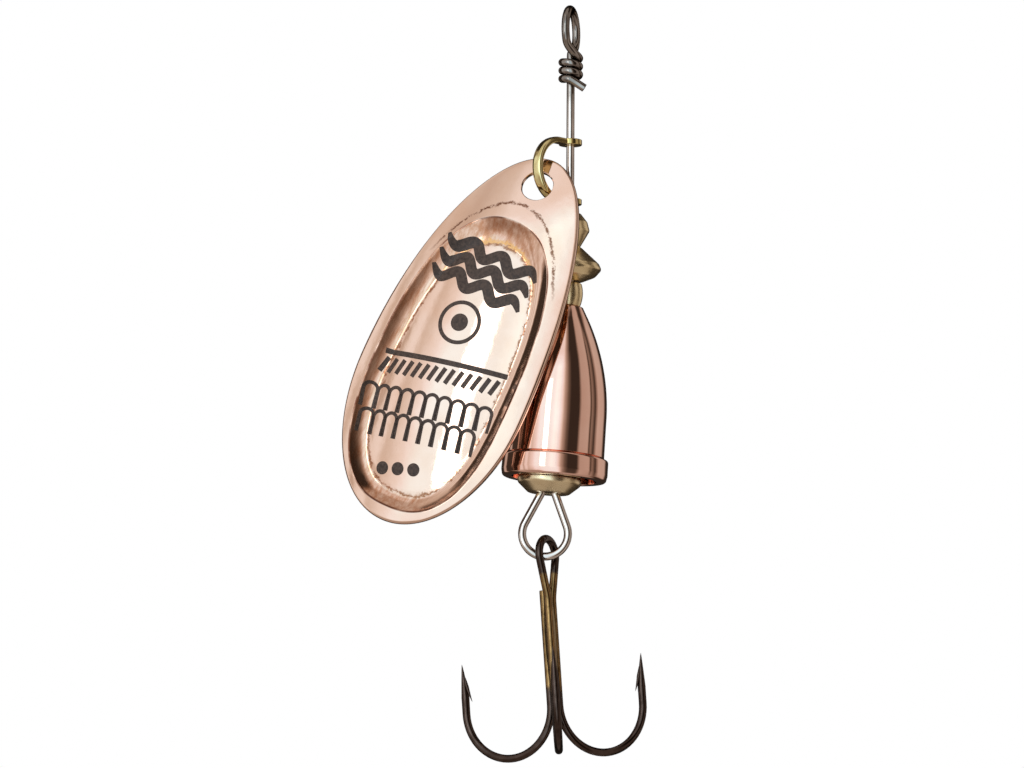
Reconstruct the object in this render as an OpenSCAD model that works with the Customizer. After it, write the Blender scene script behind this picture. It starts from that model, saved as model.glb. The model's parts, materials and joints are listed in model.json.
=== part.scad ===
// Inline spinner: a trolling and casting lure. A blade on a clevis turns round a wire
// shaft above brass beads and a hollow bell body, with a treble hook on the lower loop.
// The origin is the centre of the line eye and +Z runs up the shaft towards the line.

/* [Wire] */
// Diameter of the spring-steel wire
wire_d = 0.7; // [0.6:0.05:0.8]
// Radius of the line eye, to the middle of the wire
eye_r = 1.88; // [1.6:0.02:2.2]
// Number of turns wrapped round the shaft under the eye
wrap_turns = 3; // [2:1:4]
// Angle of the line eye about the shaft, from the plane of the lower loop
eye_turn = 75; // [0:1:90]
// Lean of the body end of the shaft, where the wire is set below the main bead
shaft_set = 4.3; // [0:0.1:5]
// Radius of the lower loop, to the middle of the wire
loop_r = 1.95; // [1.8:0.05:2.1]
// Angle that each leg of the lower loop spreads by
loop_spread = 24; // [20:1:28]

/* [Clevis] */
// Distance between the middles of the two ears
clevis_span = 5.19; // [4.8:0.05:5.6]
// Height of the clevis's middle below the line eye
clevis_drop = 12.38; // [11.5:0.02:13]
// Straight part of each arm, between ear and bow
clevis_arm = 1.65; // [1.4:0.05:2]
// Width of the flattened strip
strip_w = 0.95; // [0.8:0.05:1.1]
// Thickness of the flattened strip
strip_t = 0.5; // [0.4:0.05:0.6]
// Radius of the round ears
ear_r = 1; // [0.9:0.05:1.2]
// Direction in which the bow stands out, about the shaft
clevis_turn = -132; // [-180:1:180]

/* [Blade] */
// Half of the blade's greatest width
blade_half_w = 8.1; // [7.5:0.1:9]
// Length from the widest place up to the narrow end
blade_top = 21.65; // [20:0.05:24]
// Length from the widest place down to the round end
blade_bottom = 12.45; // [11:0.05:13]
// Thickness of the sheet
blade_t = 0.55; // [0.45:0.05:0.65]
// Depth of the pressed oval pan
pan_depth = 1.2; // [1:0.1:1.6]
// Half width of the pan at its lip
pan_half_w = 6.8; // [6.5:0.1:7]
// Length of the pan above the widest place
pan_top = 15.4; // [14:0.1:16]
// Length of the pan below the widest place
pan_bottom = 11.35; // [10.6:0.05:11.5]
// Width of the pan's wall, from its lip to its floor
wall_w = 1.6; // [1.4:0.05:1.8]
// Length of the pan's wall at its narrow end
wall_top = 2.3; // [1.8:0.05:2.6]
// Radius of the crown across the blade
crown_r = 18; // [14:0.5:20]
// Radius of the crown along the blade
bow_r = 56; // [40:1:80]
// Diameter of the hole that the clevis passes through
hole_d = 2.75; // [2.6:0.05:2.9]
// Distance from the narrow end to the middle of the hole
hole_inset = 2.7; // [2.6:0.05:3]

/* [Beads] */
// Height and greatest radius of the round bead under the clevis
upper_bead = [2.94, 1.68]; // [1:0.01:4]
// Height and greatest radius of the waisted main bead
main_bead_size = [2.92, 2.7]; // [1:0.01:4]
// Height and greatest radius of the barrel bead on the bell
barrel_bead_size = [2.03, 1.21]; // [1:0.01:3]
// Height and greatest radius of the bearing bead in the bell's mouth
bearing_bead_size = [3.2, 2.7]; // [1:0.01:4]

/* [Bell body] */
// Length of the bell
bell_h = 14.95; // [14:0.05:16]
// Radius of the bell where its side runs straight
bell_r = 4.08; // [3.9:0.02:4.2]
// Radius of the base rim
rim_r = 4.55; // [4.4:0.05:4.8]
// Height of the base rim
rim_h = 1.95; // [1.6:0.05:2.3]
// Radius of the curve of the bell's nose
ogive_r = 18.5; // [17:0.5:20]
// Radius of the hollow inside
cavity_r = 3.3; // [3:0.05:3.4]
// Depth of the hollow inside
cavity_h = 10.6; // [9:0.1:11]

/* [Treble hook] */
// Diameter of the hook wire
hook_d = 0.68; // [0.6:0.02:0.76]
// Radius of the hook's eye, to the middle of the wire
hook_eye_r = 1.38; // [1.2:0.01:1.45]
// Radius of each round bend
hook_bend_r = 4.16; // [3.8:0.02:4.5]
// Length of each straight shank under the eye
shank_h = 8.75; // [8:0.05:11]
// Length of the ground point above the barb
point_h = 3.85; // [3:0.05:4.2]
// Lean of the hanging hook in the plane of the lower loop
hook_lean = 4.1; // [-10:0.1:10]

/* [Hidden] */
$fn = 48;

// Clearances and small repeated sizes
wire_r = wire_d / 2;
bore_r = wire_r + 0.07;
turn_pitch = wire_d + 0.02;
wrap_r = wire_d + 0.02;
wrap_top = -2.36;
tag_gap = 0.05;
set_gap = 0.1;
weld = 0.008;
tube_r = wire_r * 0.985;
WIRE_SIDES = 12;
FLIP = [[1, 0, 0], [0, -1, 0], [0, 0, -1]];
eye_foot = -2.2;
tag_out = 1.45;
copper = [0.85, 0.62, 0.5];
brass = [0.72, 0.62, 0.36];
steel = [0.7, 0.7, 0.72];
bronze = [0.28, 0.21, 0.18];
solder = [0.55, 0.42, 0.24];

// Heights down the shaft; everything below bead_seat leans with the set in the wire
upper_bead_top = -16;
main_bead_top = upper_bead_top - upper_bead[0] - 0.02;
bead_seat = main_bead_top - main_bead_size[0] - 0.02;
barrel_bead_top = bead_seat - set_gap;
bell_top = barrel_bead_top - barrel_bead_size[0] - 0.03;
bell_bottom = bell_top - bell_h;
bearing_bottom = bell_bottom - 1.25;

// Lower loop: a leg leaves the axis, spreads, runs round the loop and comes back up
tag_offset = wire_d + tag_gap;
leg_bend_r = 1.2;
loop_mid = -tag_offset / 2;
leg_start = bearing_bottom + 0.76;
leg_h = (loop_mid + loop_r * cos(loop_spread) - leg_bend_r * (1 - cos(loop_spread)))
        / sin(loop_spread);
loop_centre = leg_start - leg_bend_r * sin(loop_spread) - leg_h * cos(loop_spread)
              - loop_r * sin(loop_spread);
tag_h = 7;

// Treble hook
hook_r = hook_d / 2;
tip_r = 0.04;
shank_gap = 0.04;
shank_off = (hook_d + shank_gap) / sqrt(3);
eye_half = (hook_d + shank_gap) / 2;
eye_close = 16.3;
eye_bend_r = 2.5;
eye_leg = (hook_eye_r * cos(eye_close) - eye_bend_r * (1 - cos(eye_close)) - eye_half)
          / sin(eye_close);
shank_top = -hook_eye_r * sin(eye_close) - eye_leg * cos(eye_close)
            - eye_bend_r * sin(eye_close);
single_cut = -1.05;
braze_r = 0.6;
braze_h = 8.65;
hook_shift = 0.33;
hook_rise = 0.17;
EYE_AZIMUTH = 60;
SINGLE_AZIMUTH = EYE_AZIMUTH + 90;
point_base = 0.45;
// Middle of the three shanks, beside the middle of the eye that two of them form
bundle = shank_off / 2 * [cos(SINGLE_AZIMUTH), sin(SINGLE_AZIMUTH), 0];

// Blade placing: the turns of its plane, and the middle of its hole in the part's frame
blade_azimuth = 18;
blade_tip_up = 7.2;
blade_lean = 24.6;
blade_hole = [-2.8, -2.3, -14.06];
bow_centre = 5.3;
back_grow = 0.2;
lip_power = 2.48;
RIM_RINGS = [0, 0.33, 0.67, 1];
WALL_RINGS = [1.045, 1.09, 1.25, 1.45, 1.65, 1.83, 2];
lip_round = 0.09;
foot_power = 1.7;
FLOOR_RINGS = [2.3, 2.6, 2.85];
BLADE_RINGS = concat(RIM_RINGS, WALL_RINGS, FLOOR_RINGS);
BLADE_STEPS = 60;

// Points along an arc from one angle to another
function arc(centre, r, from, to, n) =
    [for (i = [0 : n]) centre + r * [cos(from + (to - from) * i / n),
                                     sin(from + (to - from) * i / n)]];

// Points along a cubic curve between two ends, without the first end
function curve(p0, p1, p2, p3, n) =
    [for (i = [1 : n])
        let(t = i / n, s = 1 - t)
        s * s * s * p0 + 3 * s * s * t * p1 + 3 * s * t * t * p2 + t * t * t * p3];

function turn_z(a) = [[cos(a), -sin(a), 0], [sin(a), cos(a), 0], [0, 0, 1]];
function turn_y(a) = [[cos(a), 0, sin(a)], [0, 1, 0], [-sin(a), 0, cos(a)]];

// Middle line of a bent wire that starts at p and heads along the z axis of the frame m.
// Each step is [straight length, bend radius, bend angle, direction of the bend].
function bent(steps, p, m, i = 0) =
    i == len(steps) ? [] :
    let(straight = steps[i][0], r = steps[i][1], bend = steps[i][2],
        aim = m * turn_z(steps[i][3]),
        start = p + m * [0, 0, straight],
        n = ceil(bend / 12))
    concat(straight > 0 ? [start] : [],
           [for (k = [1 : 1 : n])
               let(a = bend * k / n) start + aim * [r * (1 - cos(a)), 0, r * sin(a)]],
           bent(steps, start + aim * [r * (1 - cos(bend)), 0, r * sin(bend)],
                aim * turn_y(bend) * turn_z(-steps[i][3]), i + 1));

function unit(v) = v / norm(v);

// Direction of a line of points at each of them
function heading(path, i) =
    unit(path[min(i + 1, len(path) - 1)] - path[max(i - 1, 0)]);

// A round tube along a line of points; each ring is turned on from the one before.
// The radius is one number or a list with one for each point.
module tube(path, r) {
    n = WIRE_SIDES;
    last = len(path) - 1;
    first = heading(path, 0);
    normals = [for (i = 0, v = unit(cross(first, [first[1], first[2], first[0]])); i <= last;
                    i = i + 1,
                    v = i > last ? v : unit(v - heading(path, i) * (v * heading(path, i)))) v];
    points = [for (i = [0 : last])
                 let(t = heading(path, i), v = normals[i], w = cross(t, v),
                     ring_r = is_list(r) ? r[i] : r)
                 for (j = [0 : n - 1])
                     path[i] + ring_r * (cos(360 * j / n) * v + sin(360 * j / n) * w)];
    sides = [for (i = [0 : last - 1]) for (j = [0 : n - 1])
                let(a = i * n + j, b = i * n + (j + 1) % n)
                each [[a, a + n, b + n], [a, b + n, b]]];
    polyhedron(points = points,
               faces = concat([[for (j = [0 : n - 1]) j]], sides,
                              [[for (j = [n - 1 : -1 : 0]) last * n + j]]));
}

// Puts a piece of the body end on the leaning part of the shaft
module on_lower_shaft() {
    translate([0, 0, bead_seat]) rotate([0, shaft_set, 0])
        translate([0, 0, -bead_seat]) children();
}

// The line eye in its own plane: up from the shaft, round the ring, across and down in wraps
function eye_path() =
    let(leave = -50, meet = 215,
        up = [0, 0, eye_foot],
        on = [eye_r * cos(leave), 0, eye_r * sin(leave)],
        off = [eye_r * cos(meet), 0, eye_r * sin(meet)],
        on_way = [-sin(leave), 0, cos(leave)],
        off_way = [-sin(meet), 0, cos(meet)],
        wrap_start = [0, -wrap_r, wrap_top],
        turns = 360 * wrap_turns - eye_turn,
        steps = ceil(turns / 20),
        wraps = [for (i = [0 : steps])
                    let(a = turns * i / steps)
                    [wrap_r * sin(a), -wrap_r * cos(a), wrap_top - turn_pitch * a / 360]],
        end = wraps[steps])
    concat([up - [0, 0, 0.5], up],
           curve(up, up + [0, 0, 0.45], on - 0.55 * on_way, on, 6),
           [for (p = arc([0, 0], eye_r, leave + 12, meet, 21)) [p[0], 0, p[1]]],
           curve(off, off + 0.8 * off_way, wrap_start - [0.8, 0, -0.15], wrap_start, 6),
           [for (i = [1 : steps]) wraps[i]],
           [end + tag_out * unit([cos(turns), sin(turns), -0.65])]);

// The lower loop: a leg leaves the shaft, spreads, runs round and comes back up as the tag
function loop_path() =
    bent([[bead_seat - leg_start, leg_bend_r, loop_spread, 0],
          [leg_h, loop_r, 180 + 2 * loop_spread, 180],
          [leg_h, leg_bend_r, loop_spread, 0],
          [tag_h, 0, 0, 0]],
         [0, 0, bead_seat], FLIP);

module shaft_wire() {
    color(steel) {
        rotate([0, 0, eye_turn]) tube(eye_path(), tube_r);
        translate([0, 0, bead_seat]) cylinder(r = wire_r, h = eye_foot - 0.15 - bead_seat);
        on_lower_shaft() {
            translate([0, 0, bead_seat]) sphere(r = wire_r + weld);
            translate([0, 0, leg_start + 0.1])
                cylinder(r = wire_r, h = bead_seat - leg_start - 0.1);
            tube(concat([[0, 0, leg_start + 0.5]], loop_path()), tube_r);
        }
    }
}

module clevis() {
    color(brass)
        translate([0, 0, -clevis_drop]) rotate([0, 0, clevis_turn])
            difference() {
                union() {
                    for (side = [-1, 1])
                        translate([0, 0, side * clevis_span / 2 - strip_t / 2]) {
                            cylinder(r = ear_r, h = strip_t);
                            translate([0, -strip_w / 2, 0]) cube([clevis_arm, strip_w, strip_t]);
                        }
                    translate([clevis_arm, 0, 0]) rotate([90, 0, 0]) rotate([0, 0, -90])
                        rotate_extrude(angle = 180)
                            translate([clevis_span / 2 - strip_t / 2, -strip_w / 2])
                                square([strip_t, strip_w]);
                }
                cylinder(r = bore_r, h = 2 * clevis_span, center = true);
            }
}

// Point of an egg outline with a rounder or squarer corner: x across, y along
function egg(ang, half_w, top, bottom, power) =
    [half_w * sign(sin(ang)) * pow(abs(sin(ang)), 2 / power),
     (cos(ang) >= 0 ? top : bottom) * sign(cos(ang)) * pow(abs(cos(ang)), 2 / power)];

// Place on the blade: k runs from 0 at the edge to 1 at the pan's lip, 2 at the foot of the
// pan's wall and 3 in the middle; the pan is grown to go round the back of the sheet
function blade_xy(ang, k, grow) =
    let(edge = egg(ang, blade_half_w, blade_top, blade_bottom, 2),
        lip = egg(ang, pan_half_w + grow, pan_top + grow, pan_bottom + grow, lip_power),
        inner = grow - wall_w,
        foot = egg(ang, pan_half_w + inner, pan_top + grow - wall_top, pan_bottom + inner,
                   lip_power))
    k <= 1 ? edge + (lip - edge) * k :
    k <= 2 ? lip + (foot - lip) * (k - 1) : foot * (3 - k);

// Share of the pan's depth: a crisp lip, a steep wall and a long round foot
function fall(k) =
    let(t = min(max(k - 1, 0), 1),
        past_lip = t < lip_round ? t * t / (2 * lip_round) : t - lip_round / 2)
    1 - pow(max(1 - past_lip / (1 - lip_round / 2), 0), foot_power);

function blade_crown(p) = -p[0] * p[0] / (2 * crown_r) - pow(p[1] - bow_centre, 2) / (2 * bow_r);

function blade_point(ang, k, grow = 0) =
    let(p = blade_xy(ang, k, grow))
    [p[0], p[1], blade_crown(p) - pan_depth * fall(k)];

module blade_sheet() {
    n = BLADE_STEPS;
    rings = len(BLADE_RINGS);
    middle = blade_point(0, 3);
    under = [0, 0, blade_t];
    angles = [for (i = [0 : n - 1]) 360 * i / n];
    front = [for (k = BLADE_RINGS) for (a = angles) blade_point(a, k)];
    back = [for (k = BLADE_RINGS) for (a = angles) blade_point(a, k, back_grow) - under];
    first_back = rings * n + 1;
    last = (rings - 1) * n;
    points = concat(front, [middle], back, [middle - under]);
    faces = concat(
        [for (j = [0 : rings - 2]) for (i = [0 : n - 1])
            let(a = j * n + i, b = j * n + (i + 1) % n)
            each [[a, b, b + n], [a, b + n, a + n],
                  [first_back + b, first_back + a, first_back + a + n],
                  [first_back + b, first_back + a + n, first_back + b + n]]],
        [for (i = [0 : n - 1])
            let(a = last + i, b = last + (i + 1) % n)
            each [[a, b, rings * n], [first_back + b, first_back + a, first_back + rings * n]]],
        [for (i = [0 : n - 1])
            let(b = (i + 1) % n)
            each [[i, first_back + i, first_back + b], [i, first_back + b, b]]]);
    polyhedron(points = points, faces = faces);
}

module blade() {
    hole_y = blade_top - hole_inset;
    hole_z = blade_crown([0, hole_y]) - blade_t / 2;
    hole_tilt = atan((hole_y - bow_centre) / bow_r);
    color(copper)
        translate(blade_hole)
            rotate([0, 0, -blade_azimuth]) rotate([90 - blade_tip_up, 0, 0])
                rotate([0, 0, -blade_lean])
                    translate([0, -hole_y, -hole_z])
                        difference() {
                            blade_sheet();
                            translate([0, hole_y, hole_z]) rotate([-hole_tilt, 0, 0])
                                cylinder(d = hole_d, h = 4 * blade_t, center = true);
                        }
}

module upper_bead() {
    color(brass)
        translate([0, 0, upper_bead_top - upper_bead[0] / 2])
            difference() {
                intersection() {
                    sphere(r = upper_bead[1]);
                    cylinder(r = 2 * upper_bead[1], h = upper_bead[0], center = true);
                }
                cylinder(r = bore_r, h = 2 * upper_bead[0], center = true);
            }
}

// A turned bead: two cones that meet in a rounded edge, part of the way down
module cone_bead(size, top_r, bottom_r, edge_at, edge_r) {
    edge = [size[1] - edge_r, -edge_at];
    rotate_extrude()
        polygon(concat([[0, 0], [top_r, 0]],
                       arc(edge, edge_r, 42, -42, 6),
                       [[bottom_r, -size[0]], [0, -size[0]]]));
}

module main_bead() {
    color(brass)
        translate([0, 0, main_bead_top])
            difference() {
                cone_bead(main_bead_size, 1.12, 1.3, 1.85, 0.8);
                translate([0, 0, -main_bead_size[0] / 2])
                    cylinder(r = bore_r, h = 2 * main_bead_size[0], center = true);
            }
}

module barrel_bead() {
    bulge_r = 2.9;
    half_h = barrel_bead_size[0] / 2;
    end_ang = asin(half_h / bulge_r);
    color(brass)
        on_lower_shaft()
            translate([0, 0, barrel_bead_top - half_h])
                difference() {
                    rotate_extrude()
                        polygon(concat([[0, half_h]],
                                       arc([barrel_bead_size[1] - bulge_r, 0], bulge_r,
                                           end_ang, -end_ang, 8),
                                       [[0, -half_h]]));
                    cylinder(r = bore_r, h = 4 * half_h, center = true);
                }
}

module bell_body() {
    shoulder = 9.8;
    nose_r = 1.62;
    nose_ang = acos((nose_r - bell_r + ogive_r) / ogive_r);
    groove = bell_h - rim_h - 0.35;
    rim_round = 0.25;
    mouth_r = 3.62;
    color(copper)
        on_lower_shaft()
            translate([0, 0, bell_top])
                difference() {
                    rotate_extrude()
                        polygon(concat([[0, 0], [nose_r - 0.35, 0]],
                                       arc([bell_r - ogive_r, -shoulder], ogive_r, nose_ang, 0, 18),
                                       [[bell_r + 0.06, -groove],
                                        [bell_r + 0.06, -bell_h + rim_h],
                                        [rim_r - rim_round, -bell_h + rim_h]],
                                       arc([rim_r - rim_round, -bell_h + rim_h - rim_round],
                                           rim_round, 90, 0, 4),
                                       arc([rim_r - rim_round, -bell_h + rim_round],
                                           rim_round, 0, -90, 4),
                                       [[0, -bell_h]]));
                    translate([0, 0, -bell_h / 2])
                        cylinder(r = bore_r, h = 2 * bell_h, center = true);
                    translate([0, 0, -bell_h - 1])
                        cylinder(r = cavity_r, h = cavity_h + 1 - 2);
                    translate([0, 0, -bell_h + cavity_h - 2])
                        cylinder(r1 = cavity_r, r2 = 2.1, h = 2);
                    translate([0, 0, -bell_h - 1]) cylinder(r = mouth_r, h = 2.4);
                }
}

module bearing_bead() {
    slot_half = 0.66;
    color(brass)
        on_lower_shaft()
            translate([loop_mid, 0, bearing_bottom + bearing_bead_size[0]])
                difference() {
                    cone_bead(bearing_bead_size, 1.25, 1.7, 2.1, 0.6);
                    translate([0, 0, -bearing_bead_size[0] / 2]) {
                        for (side = [-1, 1])
                            translate([side * slot_half, 0, 0])
                                cylinder(r = bore_r, h = 2 * bearing_bead_size[0], center = true);
                        cube([2 * slot_half, 2 * bore_r, 2 * bearing_bead_size[0]], center = true);
                    }
                }
}

// Hangs the treble hook's pieces on the lower loop; their origin is the middle of the hook's eye
module on_loop() {
    on_lower_shaft()
        translate([loop_mid + hook_shift, 0, loop_centre - loop_r + hook_rise])
            rotate([0, -hook_lean - shaft_set, 0]) children();
}

// A place on the arm that points along an azimuth, by its height above the base of the point
function on_point(azimuth, height) =
    bundle + turn_z(azimuth) * [shank_off + 2 * hook_bend_r, 0,
                                shank_top - shank_h + point_base + height];

// The cut-up barb on the inner side of a point
module barb(azimuth) {
    translate(on_point(azimuth, 0.9)) rotate([0, 0, azimuth]) rotate([0, 212, 0])
        cylinder(r1 = 0.17, r2 = 0.03, h = 1.2);
}

// From one point round its bend, up the shank, round the eye and down the same way
function double_path(first) =
    concat([on_point(first, point_h)], [on_point(first, 0)],
           bent([[point_base, hook_bend_r, 180, 180],
                 [shank_h, eye_bend_r, eye_close, 150],
                 [eye_leg, hook_eye_r, 180 + 2 * eye_close, 330],
                 [eye_leg, eye_bend_r, eye_close, 150],
                 [shank_h, hook_bend_r, 180, 180],
                 [point_base, 0, 0, 0],
                 [point_h, 0, 0, 0]],
                on_point(first, 0), turn_z(first) * FLIP));

function single_path(top) =
    concat([top], bent([[shank_h - single_cut, hook_bend_r, 180, 0],
                        [point_base, 0, 0, 0],
                        [point_h, 0, 0, 0]], top, turn_z(SINGLE_AZIMUTH) * FLIP));

module double_hook() {
    first = EYE_AZIMUTH - 150;
    path = double_path(first);
    last = len(path) - 1;
    color(bronze)
        on_loop() {
            tube(path, [for (i = [0 : last]) i == 0 || i == last ? tip_r : hook_r]);
            barb(first);
            barb(first + 120);
        }
}

module single_hook() {
    path = single_path(bundle + turn_z(SINGLE_AZIMUTH) * [shank_off, 0, shank_top - single_cut]);
    last = len(path) - 1;
    color(bronze)
        on_loop() {
            tube(path, [for (i = [0 : last]) i == last ? tip_r : hook_r]);
            barb(SINGLE_AZIMUTH);
        }
}

// Filler metal that fills the hollows between the three shanks
module braze() {
    color(solder)
        on_loop() translate(bundle + [0, 0, shank_top - single_cut - braze_h])
            difference() {
                cylinder(r = braze_r, h = braze_h);
                for (i = [0 : 2])
                    rotate([0, 0, SINGLE_AZIMUTH + 120 * i]) translate([shank_off, 0, -1])
                        cylinder(r = hook_r, h = braze_h + 2);
            }
}

shaft_wire();
clevis();
blade();
upper_bead();
main_bead();
barrel_bead();
bell_body();
bearing_bead();
double_hook();
single_hook();
braze();
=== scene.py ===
"""Looks of an inline spinner: a dished copper blade on a brass clevis, turned brass beads, a
mirror-plated bell, a wrapped steel wire and a bronzed treble hook, hung in a pale studio."""
import json
from math import acos, asin, atan, atan2, ceil, cos, degrees, pi, radians, sin, sqrt, tan

import bmesh
import bpy
import numpy as np
from mathutils import Matrix, Vector


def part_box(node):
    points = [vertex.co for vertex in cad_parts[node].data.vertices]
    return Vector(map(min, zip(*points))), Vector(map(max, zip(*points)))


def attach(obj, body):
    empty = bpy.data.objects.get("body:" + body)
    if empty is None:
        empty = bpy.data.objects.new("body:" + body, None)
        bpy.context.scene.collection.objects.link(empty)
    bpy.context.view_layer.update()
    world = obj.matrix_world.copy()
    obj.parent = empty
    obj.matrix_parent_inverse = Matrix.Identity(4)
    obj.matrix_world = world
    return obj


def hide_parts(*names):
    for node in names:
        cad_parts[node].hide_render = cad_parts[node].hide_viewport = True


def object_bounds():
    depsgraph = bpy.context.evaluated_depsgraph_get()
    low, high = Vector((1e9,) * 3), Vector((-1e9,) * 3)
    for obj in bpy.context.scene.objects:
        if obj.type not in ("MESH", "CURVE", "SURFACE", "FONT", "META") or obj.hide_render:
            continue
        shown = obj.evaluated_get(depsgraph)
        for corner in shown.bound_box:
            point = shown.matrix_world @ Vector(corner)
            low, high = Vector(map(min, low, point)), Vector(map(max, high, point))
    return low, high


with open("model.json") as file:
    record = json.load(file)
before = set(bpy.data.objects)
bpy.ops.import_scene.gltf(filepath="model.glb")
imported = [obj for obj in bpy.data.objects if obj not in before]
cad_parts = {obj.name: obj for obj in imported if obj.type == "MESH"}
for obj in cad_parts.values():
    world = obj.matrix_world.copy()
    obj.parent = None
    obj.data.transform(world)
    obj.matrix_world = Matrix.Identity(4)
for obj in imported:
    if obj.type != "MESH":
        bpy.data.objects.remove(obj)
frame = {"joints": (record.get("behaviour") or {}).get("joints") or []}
cad_low, cad_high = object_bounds()
JOINTS = {joint["name"]: joint for joint in frame["joints"]}

# Every size below is in millimetres and every angle in degrees, as in the part's own source
MM = 0.001

# Wire; the round of its line eye runs between the angles in EYE_ENDS
WIRE_R = 0.35
BORE_R = 0.42
EYE_R = 1.88
EYE_TURN = 75
EYE_FOOT = -2.2
EYE_ENDS = (-50, 215)
WRAP_TURNS = 3
WRAP_R = 0.72
WRAP_PITCH = 0.72
WRAP_TOP = -2.36
TAG_OUT = 1.45
TAG_SLOPE = -0.65
LOOP_R = 1.95
LOOP_SPREAD = 24
LEG_BEND_R = 1.2
LEG_START = 0.76
TAG_OFFSET = 0.75
TAG_H = 7
# Heights between which the darker colour of the line eye fades
EYE_DARK_FADE = (-8, -4)

# Clevis
CLEVIS_SPAN = 5.19
CLEVIS_ARM = 1.65
ARM_START = 0.62
STRIP_W = 0.95
STRIP_T = 0.5
STRIP_CROWN = 0.08
EAR_R = 1
EAR_EDGE = 0.08

# Blade, in its own plane: x across, y towards the narrow end, z out of its face
HALF_W = 8.1
TOP = 21.65
BOTTOM = 12.45
SHEET_T = 0.55
EDGE_R = 0.2
BLADE_STEPS = 288
CROWN_R = 18
BOW_R = 56
BOW_CENTRE = 5.3
HOLE_D = 2.75
HOLE_Y = TOP - 2.7
HOLE_CHAMFER = 0.1
# Half width and top of the egg that the crease on the flange follows
CREASE = (7.7, 16.9)

# The blade's pan, with its wall from the lip to the foot
PAN_DEPTH = 1.2
PAN_HALF_W = 6.8
PAN_TOP = 15.4
PAN_BOTTOM = 11.35
PAN_POWER = 2.48
WALL_W = 1.6
WALL_TOP = 2.3
LIP_ROUND = 0.09
FOOT_POWER = 1.7
BACK_GROW = 0.2
# Where the mesh has its rings on the wall, as shares of the way down; closest at the lip's bend
WALL_STEPS = [0.012, 0.025, 0.04, 0.055, 0.07, 0.09, 0.12, 0.16, 0.22, 0.3, 0.38, 0.46, 0.54, 0.62,
              0.7, 0.78, 0.85, 0.91, 0.96, 1]

# How the blade hangs: its turns about Z, X and Z, and the middle of its hole
BLADE_TURNS = (-18, 82.8, -24.6)
BLADE_HOLE = (-2.8, -2.3, -14.06)

# Print on the blade
INK_T = 0.018
PRINT_SLANT = 10.3
WAVES_AT = (-0.8, 10.3)
RING_AT = (-0.7, 5.5)
RING_R = 1.78
SPOT_R = 0.78
BAR_AT = (0, 1.95)
TICK_STEP = 0.8
SCALE_R = 0.57
SCALE_STEP = 1.2
SCALE_ROWS = (-1.6, -3.85)
DOTS_AT = (-0.55, -7.95)
DOT_R = 0.56
DOT_STEP = (1.4, 0.45)

# Bell and beads
BELL_H = 14.95
BELL_R = 4.08
RIM_R = 4.55
RIM_H = 1.95
NOSE_R = 1.62
OGIVE_R = 18.5
SHOULDER = 9.8
CAVITY_R = 3.3
CAVITY_H = 10.6
MOUTH_R = 3.62
MOUTH_H = 1.4
BEARING_OUT = 1.25
BEARING_H = 3.2
SLOT_REACH = 0.66
BELL_JOINT_DEPTH = 7
BEAD_GAP = 0.02
BARREL_GAP = 0.1
BARREL_HALF_H = 1.015
BARREL_BULGE = 2.9
BARREL_R = 1.21

# Treble hook
HOOK_R = 0.34
HOOK_EYE_R = 1.38
HOOK_BEND_R = 4.16
SHANK_H = 8.75
POINT_H = 3.85
POINT_BASE = 0.45
SHANK_GAP = 0.72
SHANK_OFF = SHANK_GAP / sqrt(3)
EYE_CLOSE = 16.3
EYE_BEND_R = 2.5
EYE_SIN, EYE_COS = sin(radians(EYE_CLOSE)), cos(radians(EYE_CLOSE))
EYE_LEG = (HOOK_EYE_R * EYE_COS - EYE_BEND_R * (1 - EYE_COS) - SHANK_GAP / 2) / EYE_SIN
SHANK_TOP = -(HOOK_EYE_R + EYE_BEND_R) * EYE_SIN - EYE_LEG * EYE_COS
SINGLE_CUT = -1.05
BARB_TOP = 2.7
BARB_L = 2.15
BARB_OUT = 0.58
BRAZE_H = 8.65
BRAZE_R = 0.46
BRAZE_FILL = 0.16
# Where the braze colours the shanks: its two ends from their top, how unevenly, and how far out
GOLDEN_ENDS = (-7.5, 2.3)
GOLDEN_UNEVEN = 2.2
GOLDEN_REACH = (2, 2.6)
EYE_AZIMUTH = 60
SINGLE_AZIMUTH = EYE_AZIMUTH + 90
FLIP = np.diag([1.0, -1.0, -1.0])

# Studio
FLOOR_DROP = 95
FLOOR_R = 2500
LIGHT_DISTANCE = 700
VIEW_AIM = (-4.9, 0, -30.76)
VIEW_DISTANCE = 450
VIEW_LOOKS_UP = 7.7
VIEW_ROLL = 0.35
LENS = 185
SENSOR = 36


# ---- Points and turns ----

def turn(axis, angle):
    """A 3x3 turn about one of the axes X, Y and Z."""
    return np.array(Matrix.Rotation(radians(angle), 3, axis))


def unit(v):
    return v / np.linalg.norm(v)


def circle(centre, radius, start, stop, count):
    """Points of an arc in a plane, with both ends."""
    angles = np.radians(np.linspace(start, stop, count + 1))
    return [(centre[0] + radius * cos(a), centre[1] + radius * sin(a)) for a in angles]


def curve(p0, p1, p2, p3, count):
    """Points of a cubic curve, without the first."""
    t = np.linspace(0, 1, count + 1)[1:, None]
    s = 1 - t
    return list(s ** 3 * p0 + 3 * s * s * t * p1 + 3 * s * t * t * p2 + t ** 3 * p3)


def bent(steps, p, m, step=5):
    """The middle line of a bent wire that starts at p and heads along the z axis of m.
    Each step is a straight length, a bend radius, a bend angle and the bend's direction."""
    points = []
    for straight, radius, angle, direction in steps:
        p = p + m @ np.array([0, 0, straight])
        if straight > 0:
            points.append(p)
        aim = m @ turn("Z", direction)
        for a in np.radians(np.linspace(0, angle, ceil(angle / step) + 1)[1:]):
            points.append(p + aim @ np.array([radius * (1 - cos(a)), 0, radius * sin(a)]))
        p = points[-1]
        m = aim @ turn("Y", angle) @ turn("Z", -direction)
    return points


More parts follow.
